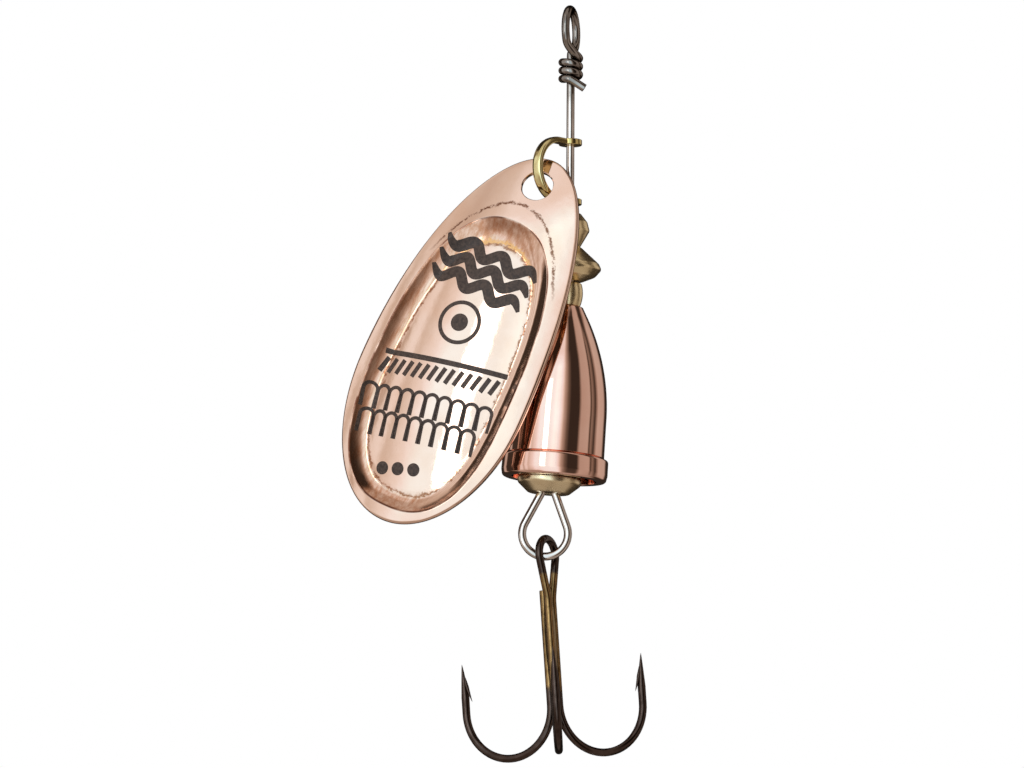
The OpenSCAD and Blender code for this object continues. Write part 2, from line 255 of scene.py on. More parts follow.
def rounded(corners, steps=6):
    """A closed outline through corners (x, y, radius), each turned into an arc."""
    outline = []
    for i, (x, y, radius) in enumerate(corners):
        p = np.array([x, y], float)
        back = unit(np.array(corners[i - 1][:2], float) - p)
        ahead = unit(np.array(corners[(i + 1) % len(corners)][:2], float) - p)
        half = acos(np.clip(back @ ahead, -1, 1)) / 2
        if radius == 0 or half > radians(89):
            outline.append(tuple(p))
            continue
        centre = p + unit(back + ahead) * radius / sin(half)
        first = p + back * radius / tan(half) - centre
        last = p + ahead * radius / tan(half) - centre
        start = degrees(atan2(first[1], first[0]))
        sweep = (degrees(atan2(last[1], last[0])) - start + 180) % 360 - 180
        outline += circle(centre, radius, start, start + sweep, steps)
    return outline


# ---- Places on the lure, from the frame ----

def joint_at(name):
    return np.array(JOINTS[name]["pos_m"]) / MM


SEAT = np.array([0, 0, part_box("main_bead")[0].z / MM - BEAD_GAP])
SHAFT_AXIS = unit(np.array(JOINTS["bell_spin"]["axis"]))
SHAFT_SET = degrees(atan2(SHAFT_AXIS[0], SHAFT_AXIS[2]))
BELL_TOP = SEAT[2] + BELL_JOINT_DEPTH - np.linalg.norm(joint_at("bell_spin") - SEAT)
BELL_BOTTOM = BELL_TOP - BELL_H
HOOK_EYE = joint_at("hook_swing")
HOOK_AXIS = JOINTS["hook_swing"]["axis"]
HOOK_LEAN = degrees(atan2(HOOK_AXIS[2], HOOK_AXIS[0]))


def on_lower_shaft(points):
    """The body end of the shaft leans about the seat of the main bead."""
    return (np.asarray(points) - SEAT) @ turn("Y", SHAFT_SET).T + SEAT


def on_hook(points):
    """The hook's pieces are made round the middle of its eye."""
    return np.asarray(points) @ turn("Y", -HOOK_LEAN).T + HOOK_EYE


def crown(x, y):
    """Height of the blade's face without its pan, which is bowed both ways."""
    return -x * x / (2 * CROWN_R) - (y - BOW_CENTRE) ** 2 / (2 * BOW_R)


def lip_size(grow):
    """Half width, top and bottom of the pan's lip, on a face or a back that is grown by grow."""
    return PAN_HALF_W + grow, PAN_TOP + grow, PAN_BOTTOM + grow


def foot_size(grow):
    """The same for the foot of the pan's wall."""
    return PAN_HALF_W + grow - WALL_W, PAN_TOP + grow - WALL_TOP, PAN_BOTTOM + grow - WALL_W


BLADE_TURN = turn("Z", BLADE_TURNS[0]) @ turn("X", BLADE_TURNS[1]) @ turn("Z", BLADE_TURNS[2])
HOLE_MIDDLE = np.array([0, HOLE_Y, crown(0, HOLE_Y) - SHEET_T / 2])


def on_blade(points):
    """The blade's pieces are made flat and hung by the middle of the hole."""
    return (np.asarray(points) - HOLE_MIDDLE) @ BLADE_TURN.T + np.array(BLADE_HOLE)


# ---- Meshes ----

def solid(name, points, faces):
    """A mesh object from points in millimetres."""
    mesh = bpy.data.meshes.new(name)
    mesh.from_pydata((np.asarray(points, float) * MM).tolist(), [], faces)
    mesh.validate()
    skin = bmesh.new()
    skin.from_mesh(mesh)
    bmesh.ops.recalc_face_normals(skin, faces=skin.faces)
    skin.to_mesh(mesh)
    skin.free()
    obj = bpy.data.objects.new(name, mesh)
    bpy.context.scene.collection.objects.link(obj)
    return obj


def merged(*parts):
    """One list of points and one of faces from several."""
    points, faces = [], []
    for more_points, more_faces in parts:
        start = len(points)
        points += [tuple(p) for p in more_points]
        faces += [tuple(start + i for i in face) for face in more_faces]
    return points, faces


def rings(rows, closed=False):
    """Points and faces of a skin over rows of points, each row a closed ring. The last row joins
    the first if it is closed, and each end has a cap if it isn't."""
    rows = np.asarray(rows)
    count, sides = rows.shape[:2]
    faces = []
    for i in range(count if closed else count - 1):
        a, b = i * sides, (i + 1) % count * sides
        for j in range(sides):
            k = (j + 1) % sides
            faces.append((a + j, a + k, b + k, b + j))
    if not closed:
        faces.append(tuple(range(sides))[::-1])
        faces.append(tuple((count - 1) * sides + j for j in range(sides)))
    return rows.reshape(-1, 3), faces


def tube(path, radii, sides=24, chamfer=0.05):
    """A round wire along a line of points, with its ends cut flat and their edges broken."""
    path = np.asarray(path, float)
    radii = np.broadcast_to(np.asarray(radii, float), len(path)).copy()
    heading = np.vstack([path[1:], path[-1:]]) - np.vstack([path[:1], path[:-1]])
    heading /= np.linalg.norm(heading, axis=1)[:, None]
    side = unit(np.cross(heading[0], heading[0][[1, 2, 0]] + [0.1, 0, 0]))
    normals = []
    for t in heading:
        side = unit(side - t * (side @ t))
        normals.append(side)
    normals = np.array(normals)
    if chamfer:
        ends = [path[0], path[-1]]
        path[0] = path[0] + heading[0] * chamfer
        path[-1] = path[-1] - heading[-1] * chamfer
        path = np.vstack([ends[0], path, ends[1]])
        heading = np.vstack([heading[:1], heading, heading[-1:]])
        normals = np.vstack([normals[:1], normals, normals[-1:]])
        radii = np.concatenate([[radii[0] - chamfer], radii, [radii[-1] - chamfer]])
    across = np.cross(heading, normals)
    angles = np.radians(np.arange(sides) * 360 / sides)
    wave = (np.cos(angles)[None, :, None] * normals[:, None, :]
            + np.sin(angles)[None, :, None] * across[:, None, :])
    return rings(path[:, None, :] + radii[:, None, None] * wave)


def lathe(outline, sides=128):
    """A ring-shaped solid: a closed outline of (radius, height) turned about Z."""
    out, up = np.asarray(outline, float).T
    rows = [np.column_stack([out * cos(a), out * sin(a), up])
            for a in np.radians(np.arange(sides) * 360 / sides)]
    return rings(rows, closed=True)


def carve(obj, cutter, operation="DIFFERENCE"):
    """Cuts cutter out of obj, or joins it on, for good."""
    modifier = obj.modifiers.new("carve", "BOOLEAN")
    modifier.object = cutter
    modifier.operation = operation
    modifier.solver = "EXACT"
    graph = bpy.context.evaluated_depsgraph_get()
    mesh = bpy.data.meshes.new_from_object(obj.evaluated_get(graph))
    obj.modifiers.clear()
    obj.data = mesh
    bpy.data.objects.remove(cutter)


def finish_piece(obj, material, body, replaces=(), sharp=32):
    """Smooth shading with crisp edges, the material, and the body that the piece rides on."""
    mesh = obj.data
    mesh.shade_smooth()
    mesh.set_sharp_from_angle(angle=radians(sharp))
    mesh.materials.clear()
    mesh.materials.append(material)
    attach(obj, body)
    if replaces:
        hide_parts(*replaces)


# ---- Materials ----

def new_material(name):
    """A new material with its tree and its shader."""
    material = bpy.data.materials.new(name)
    material.use_nodes = True
    return material, material.node_tree, material.node_tree.nodes["Principled BSDF"]


def supply(tree, socket, value):
    """Links an input to a socket, or sets it to a value."""
    if isinstance(value, bpy.types.NodeSocket):
        tree.links.new(value, socket)
    else:
        socket.default_value = value


def feed(tree, inputs, **values):
    """Supplies inputs by their names, with _ for a space."""
    for name, value in values.items():
        supply(tree, inputs[name.replace("_", " ")], value)


def add(tree, kind, **values):
    """A new node with some of its inputs supplied."""
    node = tree.nodes.new("ShaderNode" + kind)
    feed(tree, node.inputs, **values)
    return node


def moved(tree, vector, **settings):
    """A vector through a mapping with the given Location, Rotation or Scale."""
    return add(tree, "Mapping", Vector=vector, **settings).outputs["Vector"]


def place(tree, stretch=(1, 1, 1)):
    """The piece's own coordinates in metres, stretched along its axes."""
    return moved(tree, add(tree, "TexCoord").outputs["Object"], Scale=stretch)


def split(tree, vector):
    """The three parts of a vector, by the names X, Y and Z."""
    return add(tree, "SeparateXYZ", Vector=vector).outputs


def maths(tree, operation, *values):
    """One step of arithmetic on numbers and sockets."""
    node = add(tree, "Math")
    node.operation = operation
    for socket, value in zip(node.inputs, values):
        supply(tree, socket, value)
    return node.outputs[0]


def share_of(tree, value, low, high):
    """How far a value is between two others, from 0 to 1."""
    return add(tree, "MapRange", Value=value, From_Min=low, From_Max=high).outputs["Result"]


def height_share(tree, vector, low, high, axis="Z"):
    """How far along an axis a place is between two values in millimetres, from 0 to 1."""
    return share_of(tree, split(tree, vector)[axis], low * MM, high * MM)


def from_middle(tree, x, y):
    """The distance of a place from the middle of its plane, in metres."""
    squares = maths(tree, "ADD", maths(tree, "MULTIPLY", x, x), maths(tree, "MULTIPLY", y, y))
    return maths(tree, "SQRT", squares)


def noise(tree, vector, size, detail=4, roughness=0.5):
    """Cloudy noise whose blotches are about size millimetres across."""
    return add(tree, "TexNoise", Vector=vector, Scale=1 / (size * MM), Detail=detail,
               Roughness=roughness).outputs["Fac"]


def ramp(tree, factor, stops):
    """Turns a value into colours or greys at the given stops."""
    node = add(tree, "ValToRGB", Fac=factor)
    elements = node.color_ramp.elements
    while len(elements) > 1:
        elements.remove(elements[-1])
    for i, (position, colour) in enumerate(stops):
        element = elements[0] if i == 0 else elements.new(position)
        element.position = position
        element.color = (*colour, 1) if hasattr(colour, "__len__") else (colour,) * 3 + (1,)
    return node.outputs["Color"]


def band(tree, value, stops):
    """A ramp whose stops are at values from -1 to 1."""
    return ramp(tree, maths(tree, "MULTIPLY_ADD", value, 0.5, 0.5),
                [((at + 1) / 2, level) for at, level in stops])


def blend(tree, factor, first, second, mode="MIX"):
    """The second colour over the first, as much as the factor says."""
    node = add(tree, "Mix")
    node.data_type = "RGBA"
    node.blend_type = mode
    uses = [("Factor", "VALUE", factor), ("A", "RGBA", first), ("B", "RGBA", second)]
    for label, kind, value in uses:
        socket = next(s for s in node.inputs if (s.name, s.type) == (label, kind))
        supply(tree, socket, (*value, 1) if isinstance(value, tuple) else value)
    return next(s for s in node.outputs if s.type == "RGBA")


def product(tree, mask, *others):
    """Where all the masks are bright."""
    for other in others:
        mask = blend(tree, 1.0, mask, other, "MULTIPLY")
    return mask


def bump(tree, heights):
    """Chained bump nodes; each height is a factor and its depth in millimetres."""
    normal = {}
    for factor, depth in heights:
        node = add(tree, "Bump", Height=factor, Strength=1, Distance=depth * MM, **normal)
        normal = {"Normal": node.outputs["Normal"]}
    return node.outputs["Normal"]


def metal(name, light, dark, gloss, waves, scratches, stretch=(1, 1, 1)):
    """Bare or plated metal: two shades in blotches, fine brushing, and a slightly uneven skin.
    gloss is the lowest and highest roughness; waves and scratches are a size and a depth."""
    material, tree, shader = new_material(name)
    here = place(tree)
    brushed = place(tree, stretch)
    blotches = noise(tree, here, 4, 5, 0.6)
    lines = noise(tree, brushed, scratches[0], 3, 0.7)
    rough = blend(tree, 0.5, ramp(tree, blotches, [(0.3, gloss[1]), (0.65, gloss[0])]),
                  ramp(tree, lines, [(0.35, gloss[0]), (0.75, gloss[1])]))
    skin = bump(tree, [(noise(tree, here, waves[0], 2), waves[1]), (lines, scratches[1])])
    feed(tree, shader.inputs, Base_Color=ramp(tree, blotches, [(0.3, dark), (0.7, light)]),
         Roughness=rough, Normal=skin, Metallic=1)
    return material


def steel():
    """Bright spring steel; the line eye and its wraps are darker."""
    material, tree, shader = new_material("steel_wire")
    here = place(tree)
    blotches = noise(tree, here, 1.2, 4, 0.6)
    bright = ramp(tree, blotches, [(0.3, (0.60, 0.52, 0.46)), (0.7, (0.80, 0.70, 0.63))])
    # A darker colour for the line eye and its wraps, towards the top of the wire
    eye_darker = ramp(tree, blotches, [(0.3, (0.20, 0.165, 0.14)), (0.7, (0.40, 0.35, 0.31))])
    up = ramp(tree, height_share(tree, here, *EYE_DARK_FADE), [(0.2, 0.0), (0.8, 1.0)])
    grain = noise(tree, here, 0.12, 3, 0.7)
    feed(tree, shader.inputs, Base_Color=blend(tree, up, bright, eye_darker),
         Roughness=ramp(tree, blotches, [(0.3, 0.14), (0.7, 0.05)]), Metallic=1,
         Normal=bump(tree, [(blotches, 0.004), (grain, 0.001)]),
         Specular_Tint=(0.15, 0.14, 0.13, 1))
    return material


def hook_metal():
    """Bronzed hook wire, golden along the shanks where they were brazed together."""
    material, tree, shader = new_material("hook_bronze")
    here = place(tree)
    # The hook's own coordinates, from the middle of its eye
    lean = turn("Y", HOOK_LEAN)
    own = split(tree, moved(tree, here, Rotation=Matrix(lean.tolist()).to_euler(),
                            Location=(lean @ -HOOK_EYE * MM).tolist()))
    reach = from_middle(tree, own["X"], own["Y"])
    near = share_of(tree, reach, GOLDEN_REACH[1] * MM, GOLDEN_REACH[0] * MM)
    uneven = noise(tree, here, 1.6, 4, 0.6)
    height = maths(tree, "MULTIPLY_ADD", uneven, GOLDEN_UNEVEN * MM, own["Z"])
    bottom, top = SHANK_TOP - 12, SHANK_TOP + 8
    along = share_of(tree, height, bottom * MM, top * MM)
    golden_bottom, golden_top = (SHANK_TOP + end + GOLDEN_UNEVEN / 2 for end in GOLDEN_ENDS)
    stops = [(golden_bottom - 0.2, 0.0), (golden_bottom + 0.2, 1.0), (golden_top - 0.2, 1.0),
             (golden_top + 0.2, 0.0)]
    brazed = blend(tree, near, (0, 0, 0),
                   ramp(tree, along, [((at - bottom) / (top - bottom), on) for at, on in stops]))
    blotches = noise(tree, here, 1.1, 5, 0.65)
    bare = ramp(tree, blotches, [(0.3, (0.045, 0.028, 0.021)), (0.7, (0.10, 0.067, 0.054))])
    golden = ramp(tree, blotches, [(0.3, (0.14, 0.08, 0.03)), (0.7, (0.36, 0.21, 0.085))])
    feed(tree, shader.inputs, Base_Color=blend(tree, brazed, bare, golden), Metallic=1,
         Roughness=ramp(tree, blotches, [(0.3, 0.22), (0.7, 0.1)]),
         Normal=bump(tree, [(uneven, 0.01), (blotches, 0.0015)]))
    return material


def ink():
    """Dark print with a few thin places."""
    material, tree, shader = new_material("print_ink")
    grain = noise(tree, place(tree), 0.25, 3, 0.6)
    colour = ramp(tree, grain, [(0.35, (0.024, 0.014, 0.01)), (0.75, (0.065, 0.042, 0.032))])
    feed(tree, shader.inputs, Base_Color=colour, Specular_IOR_Level=0.25,
         Roughness=ramp(tree, grain, [(0.3, 0.32), (0.7, 0.5)]),
         Normal=bump(tree, [(grain, 0.004)]))
    return material


def matt(name, colour, vary):
    """Plain paint, a little darker in places."""
    material, tree, shader = new_material(name)
    cloud = noise(tree, place(tree), 60, 3)
    feed(tree, shader.inputs, Roughness=0.85,
         Base_Color=ramp(tree, cloud, [(0.3, [c * vary for c in colour]), (0.7, colour)]))
    return material


def beyond(tree, vector, half_w, top, bottom, power):
    """How far a place on the blade is outside an egg outline, in millimetres."""
    parts = split(tree, vector)
    x, y = parts["X"], parts["Y"]
    side = maths(tree, "DIVIDE", maths(tree, "ABSOLUTE", x), half_w * MM)
    end = maths(tree, "MAXIMUM", maths(tree, "DIVIDE", y, top * MM),
                maths(tree, "DIVIDE", y, -bottom * MM))
    total = maths(tree, "ADD", maths(tree, "POWER", side, power), maths(tree, "POWER", end, power))
    share_out = maths(tree, "POWER", total, 1 / power)
    over = maths(tree, "SUBTRACT", 1, maths(tree, "DIVIDE", 1, share_out))
    return maths(tree, "DIVIDE", maths(tree, "MULTIPLY", from_middle(tree, x, y), over), MM)


def flat_blade(tree, here):
    """The blade's own coordinates: x across it, and y towards its narrow end."""
    back = BLADE_TURN.T
    return moved(tree, here, Rotation=Matrix(back.tolist()).to_euler(),
                 Location=((HOLE_MIDDLE - back @ np.array(BLADE_HOLE)) * MM).tolist())


def crease_and_shade_mask(tree, here, flat, shaky):
    """A broken line round the upper part of the flange: the crease's groove, with painted shade
    along it.
    """
    line = band(tree, maths(tree, "ADD", beyond(tree, flat, *CREASE, CREASE[1], 2), shaky),
                [(-0.19, 0.0), (-0.05, 1.0), (0.05, 1.0), (0.19, 0.0)])
    upper = ramp(tree, height_share(tree, flat, 0, 20, "Y"), [(0.5, 0.0), (0.6, 1.0)])
    broken = ramp(tree, noise(tree, here, 0.6, 5, 0.8), [(0.42, 0.0), (0.5, 1.0)])
    return product(tree, line, upper, broken)


def wall_shade_mask(tree, flat, from_lip, from_foot):
    """Painted shade on the pan's wall, in streaks along the blade, and none on the right."""
    wall_shade = product(tree, band(tree, from_lip, [(-0.12, 1.0), (0, 0.0)]),
                   band(tree, from_foot, [(-0.5, 0.0), (0.3, 1.0)]))
    drawn = moved(tree, flat, Scale=(1, 0.14, 1))
    streaks = ramp(tree, noise(tree, drawn, 0.45, 5, 0.7), [(0.34, 0.15), (0.62, 1.0)])
    unshaded_side = ramp(tree, height_share(tree, flat, -8, 8, "X"), [(0.62, 1.0), (0.76, 0.12)])
    return product(tree, wall_shade, streaks, unshaded_side)


def crease_and_painted_light(material):
    """Adds a faint crease on the flange, with painted shade along it, and painted light on the pan:
    a painted shade line under its lip, painted streaky brown shade on its wall, and a painted glow
    and a painted shade line at the wall's foot."""
    tree, shader = material.node_tree, material.node_tree.nodes["Principled BSDF"]
    here = place(tree)
    flat = flat_blade(tree, here)
    shaky = maths(tree, "MULTIPLY_ADD", noise(tree, here, 0.7, 5, 0.8), 0.9, -0.45)
    from_lip = beyond(tree, flat, *lip_size(0), PAN_POWER)
    from_foot = beyond(tree, flat, *foot_size(0), PAN_POWER)
    uneven_foot = maths(tree, "MULTIPLY_ADD", shaky, 1.6, from_foot)

    # The crease's groove, and painted shade along it
    crease_and_shade = crease_and_shade_mask(tree, here, flat, shaky)
    # Painted streaky brown shade on the pan's wall
    wall_shade = wall_shade_mask(tree, flat, from_lip, from_foot)
    # Painted shade: a broken dark line just inside the pan's lip
    lip_shade_line = band(tree, from_lip, [(-0.26, 0.0), (-0.16, 1.0), (-0.08, 1.0), (0, 0.0)])
    lip_shade_line = product(tree, lip_shade_line, ramp(tree, noise(tree, here, 1.4, 3),
                                            [(0.35, 0.35), (0.6, 1.0)]))
    # A painted glow of warm light on the wall just above its foot, towards the blade's narrow end
    glow = band(tree, uneven_foot, [(0.02, 0.0), (0.16, 1.0), (0.3, 0.9), (0.5, 0.0)])
    glow = product(tree, glow, ramp(tree, height_share(tree, flat, 6, 14, "Y"),
                                    [(0.3, 0.0), (0.7, 0.8)]))
    # Painted shade: a broken dark line at the foot of the pan's wall
    foot_shade_line = band(tree, uneven_foot, [(-0.2, 0.0), (-0.04, 1.0), (0.04, 1.0), (0.16, 0.0)])
    foot_shade_line = product(tree, foot_shade_line, ramp(tree, noise(tree, here, 1.1, 4, 0.7),
                                              [(0.4, 0.0), (0.52, 0.9)]))

    colour, rough, skin = (shader.inputs[name].links[0].from_socket
                           for name in ("Base Color", "Roughness", "Normal"))
    # Painted light on the copper: painted shade on the wall, a painted glow and a painted shade line
    # at the wall's foot, a painted shade line at the lip, and painted shade along the crease
    for mask, tint in ((wall_shade, (0.58, 0.27, 0.15)), (glow, (0.80, 0.36, 0.10)),
                       (foot_shade_line, (0.30, 0.10, 0.035)), (lip_shade_line, (0.16, 0.055, 0.03)),
                       (crease_and_shade, (0.24, 0.10, 0.055))):
        colour = blend(tree, mask, colour, tint)
    groove = add(tree, "Bump", Height=crease_and_shade, Distance=0.003 * MM, Normal=skin)
    groove.invert = True
    feed(tree, shader.inputs, Base_Color=colour, Normal=groove.outputs["Normal"],
         Roughness=blend(tree, wall_shade, rough, (0.17, 0.17, 0.17)))


STEEL = steel()
COPPER = metal("copper_plate", (0.94, 0.66, 0.52), (0.88, 0.57, 0.42), (0.03, 0.09), (1.9, 0.018),
               (0.22, 0.0016))
# The blade's crease, and painted shade and glow on its pan
crease_and_painted_light(COPPER)
BELL_COPPER = metal("bell_copper", (0.93, 0.60, 0.48), (0.88, 0.52, 0.40), (0.03, 0.09), (3, 0.008),
                    (0.12, 0.0009), (0.08, 0.08, 1))
BRASS = metal("clevis_brass", (0.90, 0.77, 0.40), (0.66, 0.50, 0.19), (0.05, 0.16), (0.7, 0.012),
              (0.12, 0.002))
BEAD_BRASS = metal("bead_brass", (0.98, 0.80, 0.48), (0.80, 0.60, 0.32), (0.2, 0.36), (0.8, 0.04),
                   (0.12, 0.002), (0.2, 0.2, 1))
BEARING_BRASS = metal("bearing_brass", (0.98, 0.84, 0.56), (0.86, 0.67, 0.40), (0.2, 0.34),
                      (0.8, 0.012), (0.12, 0.002), (0.2, 0.2, 1))
BRONZE = hook_metal()
BRAZE = metal("braze_metal", (0.36, 0.25, 0.11), (0.20, 0.13, 0.06), (0.16, 0.32), (0.6, 0.02),
              (0.15, 0.004))
INK = ink()


# ---- The wire ----

def round_eye(angle):
    """A place on the line eye and the wire's heading there."""
    out = np.array([cos(angle), 0, sin(angle)])
    return EYE_R * out, np.array([-out[2], 0, out[0]])


def wire_path():
    """The whole wire, from the tag under the line eye to the tag inside the bell."""
    up = np.array([0, 0, EYE_FOOT])
    (on, on_way), (off, off_way) = (round_eye(radians(angle)) for angle in EYE_ENDS)
    wrap_start = np.array([0, -WRAP_R, WRAP_TOP])
    turns = 360 * WRAP_TURNS - EYE_TURN
    wraps = []
    for a in np.linspace(0, turns, ceil(turns / 7) + 1):
        flat = radians(a)
        z = WRAP_TOP - WRAP_PITCH * a / 360
        wraps.append(np.array([WRAP_R * sin(flat), -WRAP_R * cos(flat), z]))
    end = radians(turns)
    tag = wraps[-1] + TAG_OUT * unit(np.array([cos(end), sin(end), TAG_SLOPE]))
    eye = ([up] + curve(up, up + [0, 0, 0.45], on - 0.55 * on_way, on, 14)
           + [np.array([x, 0, z]) for x, z in circle((0, 0), EYE_R, *EYE_ENDS, 60)[1:]]
           + curve(off, off + 0.8 * off_way, wrap_start - [0.8, 0, -0.15], wrap_start, 14)
           + wraps[1:] + [tag])
    eye = np.array(eye) @ turn("Z", EYE_TURN).T
    shaft = [np.array([0, 0, z]) for z in np.linspace(EYE_FOOT, SEAT[2], 20)[1:]]
    return np.vstack([eye[::-1], shaft, on_lower_shaft(loop_path())])


def loop_path():
    """Down the body end of the shaft, out and round the lower loop, and up beside it."""
    spread = radians(LOOP_SPREAD)
    leg_start = BELL_BOTTOM - BEARING_OUT + LEG_START
    leg = (LOOP_R * cos(spread) - TAG_OFFSET / 2 - LEG_BEND_R * (1 - cos(spread))) / sin(spread)
    return bent([(SEAT[2] - leg_start, LEG_BEND_R, LOOP_SPREAD, 0),
                 (leg, LOOP_R, 180 + 2 * LOOP_SPREAD, 180),
                 (leg, LEG_BEND_R, LOOP_SPREAD, 0),
                 (TAG_H, 0, 0, 0)], SEAT, FLIP)


def make_wire():
    obj = solid("wire", *tube(wire_path(), WIRE_R))
    finish_piece(obj, STEEL, "wire", ["shaft_wire"], 50)


# ---- The clevis ----

def ear(height):
    """One round ear with its hole, edges rounded."""
    half = STRIP_T / 2
    outline = rounded([(BORE_R, -half, EAR_EDGE), (EAR_R, -half, EAR_EDGE), (EAR_R, half, EAR_EDGE),
                       (BORE_R, half, EAR_EDGE)], 5)
    points, faces = lathe(outline, 72)
    return points + np.array([0, 0, height]), faces


def strip_path():
    """The strip's middle line, in the plane y = 0, and its outward side at each point."""
    half = CLEVIS_SPAN / 2
    starts = np.linspace(ARM_START, CLEVIS_ARM, 5)[:-1]
    points = [(x, half) for x in starts] + circle((CLEVIS_ARM, 0), half, 90, -90, 48) \
        + [(x, -half) for x in starts[::-1]]
    out = [(0, 1)] * len(starts) + circle((0, 0), 1, 90, -90, 48) + [(0, -1)] * len(starts)
    return np.array(points), np.array(out)


def strip_section():
    """The strip cut across: flat inside and slightly crowned outside."""
    half_w, half_t = STRIP_W / 2, STRIP_T / 2
    side, ridge = half_t - 0.75 * STRIP_CROWN, half_t + STRIP_CROWN / 4
    return np.array(rounded([(-half_w, -half_t, 0.12), (half_w, -half_t, 0.12), (half_w, side, 0.2),
                             (0.2, ridge, 0.35), (-0.2, ridge, 0.35), (-half_w, side, 0.2)], 6))


def make_clevis():
    """A flattened wire with an ear at each end, bent to a bow round the shaft."""
    section = strip_section()
    rows = [[(x + out_x * t, w, z + out_z * t) for w, t in section]
            for (x, z), (out_x, out_z) in zip(*strip_path())]
    middle = joint_at("clevis_spin")
    bow = joint_at("blade_swing") - middle
    way = degrees(atan2(bow[1], bow[0]))

    def placed(part):
        return np.asarray(part[0]) @ turn("Z", way).T + middle, part[1]

    obj = solid("clevis_bow", *placed(rings(rows)))
    for height in (CLEVIS_SPAN / 2, -CLEVIS_SPAN / 2):
        carve(obj, solid("ear", *placed(ear(height))), "UNION")
    finish_piece(obj, BRASS, "clevis", ["clevis"])


# ---- The blade ----

def egg(angle, half_w, top, bottom, power):
    """Points of an egg outline, from angles in radians that start at the narrow end."""
    s, c = np.sin(angle), np.cos(angle)
    x = half_w * np.sign(s) * np.abs(s) ** (2 / power)
    y = np.where(c >= 0, top, bottom) * np.sign(c) * np.abs(c) ** (2 / power)
    return np.column_stack([x, y])


def share(x, y, half_w, top, bottom):
    """How far out a place is in an egg outline: 0 in its middle and 1 on it."""
    return (np.abs(x / half_w) ** PAN_POWER
            + np.abs(y / np.where(y >= 0, top, bottom)) ** PAN_POWER) ** (1 / PAN_POWER)


def fall(t):
    """Share of the pan's depth: a crisp lip, a steep wall and a long round foot."""
    past_lip = np.where(t < LIP_ROUND, t * t / (2 * LIP_ROUND), t - LIP_ROUND / 2)
    return 1 - (1 - past_lip / (1 - LIP_ROUND / 2)) ** FOOT_POWER


def face_z(x, y, grow=0):
    """Height of the blade's face; the pan's wall runs from its lip to its foot."""
    under_lip = np.clip(1 - share(x, y, *lip_size(grow)), 0, None)
    over_foot = np.clip(share(x, y, *foot_size(grow)) - 1, 0, None)
    down = under_lip / np.maximum(under_lip + over_foot, 1e-9)
    return crown(x, y) - PAN_DEPTH * fall(down)


def blade_rings(grow):
    """Rows of (x, y) and how far the rounded edge has dropped, from the edge to the middle."""
    angle = np.linspace(0, 2 * pi, BLADE_STEPS, endpoint=False)
    edge = egg(angle, HALF_W, TOP, BOTTOM, 2)
    lip = egg(angle, *lip_size(grow), PAN_POWER)
    foot = egg(angle, *foot_size(grow), PAN_POWER)
    width = np.linalg.norm(lip - edge, axis=1)
    rows = []
    for a in np.radians([0, 15, 30, 45, 60, 75, 90]):
        inset = EDGE_R * (1 - cos(a))
        rows.append((edge + (lip - edge) * (inset / width)[:, None], EDGE_R * (1 - sin(a))))
    start = (EDGE_R / width)[:, None]
    rows += [(edge + (lip - edge) * (start + (1 - start) * k), 0)
             for k in np.linspace(0, 1, 13)[1:]]
    rows += [(lip + (foot - lip) * k, 0) for k in WALL_STEPS]
    rows += [(foot * k, 0) for k in np.linspace(1, 0.04, 18)[1:]]
    return rows


def hole_cutter():
    """A pin with a flare at each end, which leaves the hole's edges broken."""
    half = SHEET_T / 2
    top = half + 0.5
    hole_r, flare_r = HOLE_D / 2, HOLE_D / 2 + HOLE_CHAMFER + 0.5
    outline = [(0.01, -top), (flare_r, -top), (hole_r, HOLE_CHAMFER - half),
               (hole_r, half - HOLE_CHAMFER), (flare_r, top), (0.01, top)]
    points, faces = lathe(outline, 96)
    slope = degrees(atan((HOLE_Y - BOW_CENTRE) / BOW_R))
    return solid("cutter", on_blade(points @ turn("X", -slope).T + HOLE_MIDDLE), faces)


def make_blade():
    """One pressed sheet: its face, its rounded edge and its back, with the hole cut through."""
    front, back = [], []
    for flat, drop in blade_rings(0):
        x, y = flat.T
        front.append(np.column_stack([x, y, face_z(x, y) - drop]))
    for flat, drop in blade_rings(BACK_GROW):
        x, y = flat.T
        back.append(np.column_stack([x, y, face_z(x, y, BACK_GROW) - SHEET_T + drop]))
    points, faces = rings(front[::-1] + back)
    obj = solid("blade_sheet", on_blade(points), faces)
    carve(obj, hole_cutter())
    finish_piece(obj, COPPER, "blade", ["blade"], 35)


# ---- The print on the blade: generic waves, a ring, a ruled bar, scales and dots ----

def on_face(x, y, lift):
    """A point over the blade's face, lifted along its outward direction."""
    step = 0.02
    slope_x = (face_z(x + step, y) - face_z(x - step, y)) / (2 * step)
    slope_y = (face_z(x, y + step) - face_z(x, y - step)) / (2 * step)
    out = np.stack([-slope_x, -slope_y, np.ones_like(x)], -1)
    out /= np.linalg.norm(out, axis=-1)[..., None]
    return np.stack([x, y, face_z(x, y)], -1) + lift * out


def dense(line, width, closed):
    """The same line and its widths with points a tenth of a millimetre apart."""
    line = np.asarray(line, float)
    width = np.broadcast_to(width, len(line))
    if closed:
        line, width = np.vstack([line, line[:1]]), np.append(width, width[0])
    far = np.append(0, np.cumsum(np.linalg.norm(np.diff(line, axis=0), axis=1)))
    at = np.linspace(0, far[-1], ceil(far[-1] / 0.1) + 1)
    if closed:
        at = at[:-1]
    return (np.column_stack([np.interp(at, far, line[:, 0]), np.interp(at, far, line[:, 1])]),
            np.interp(at, far, width))


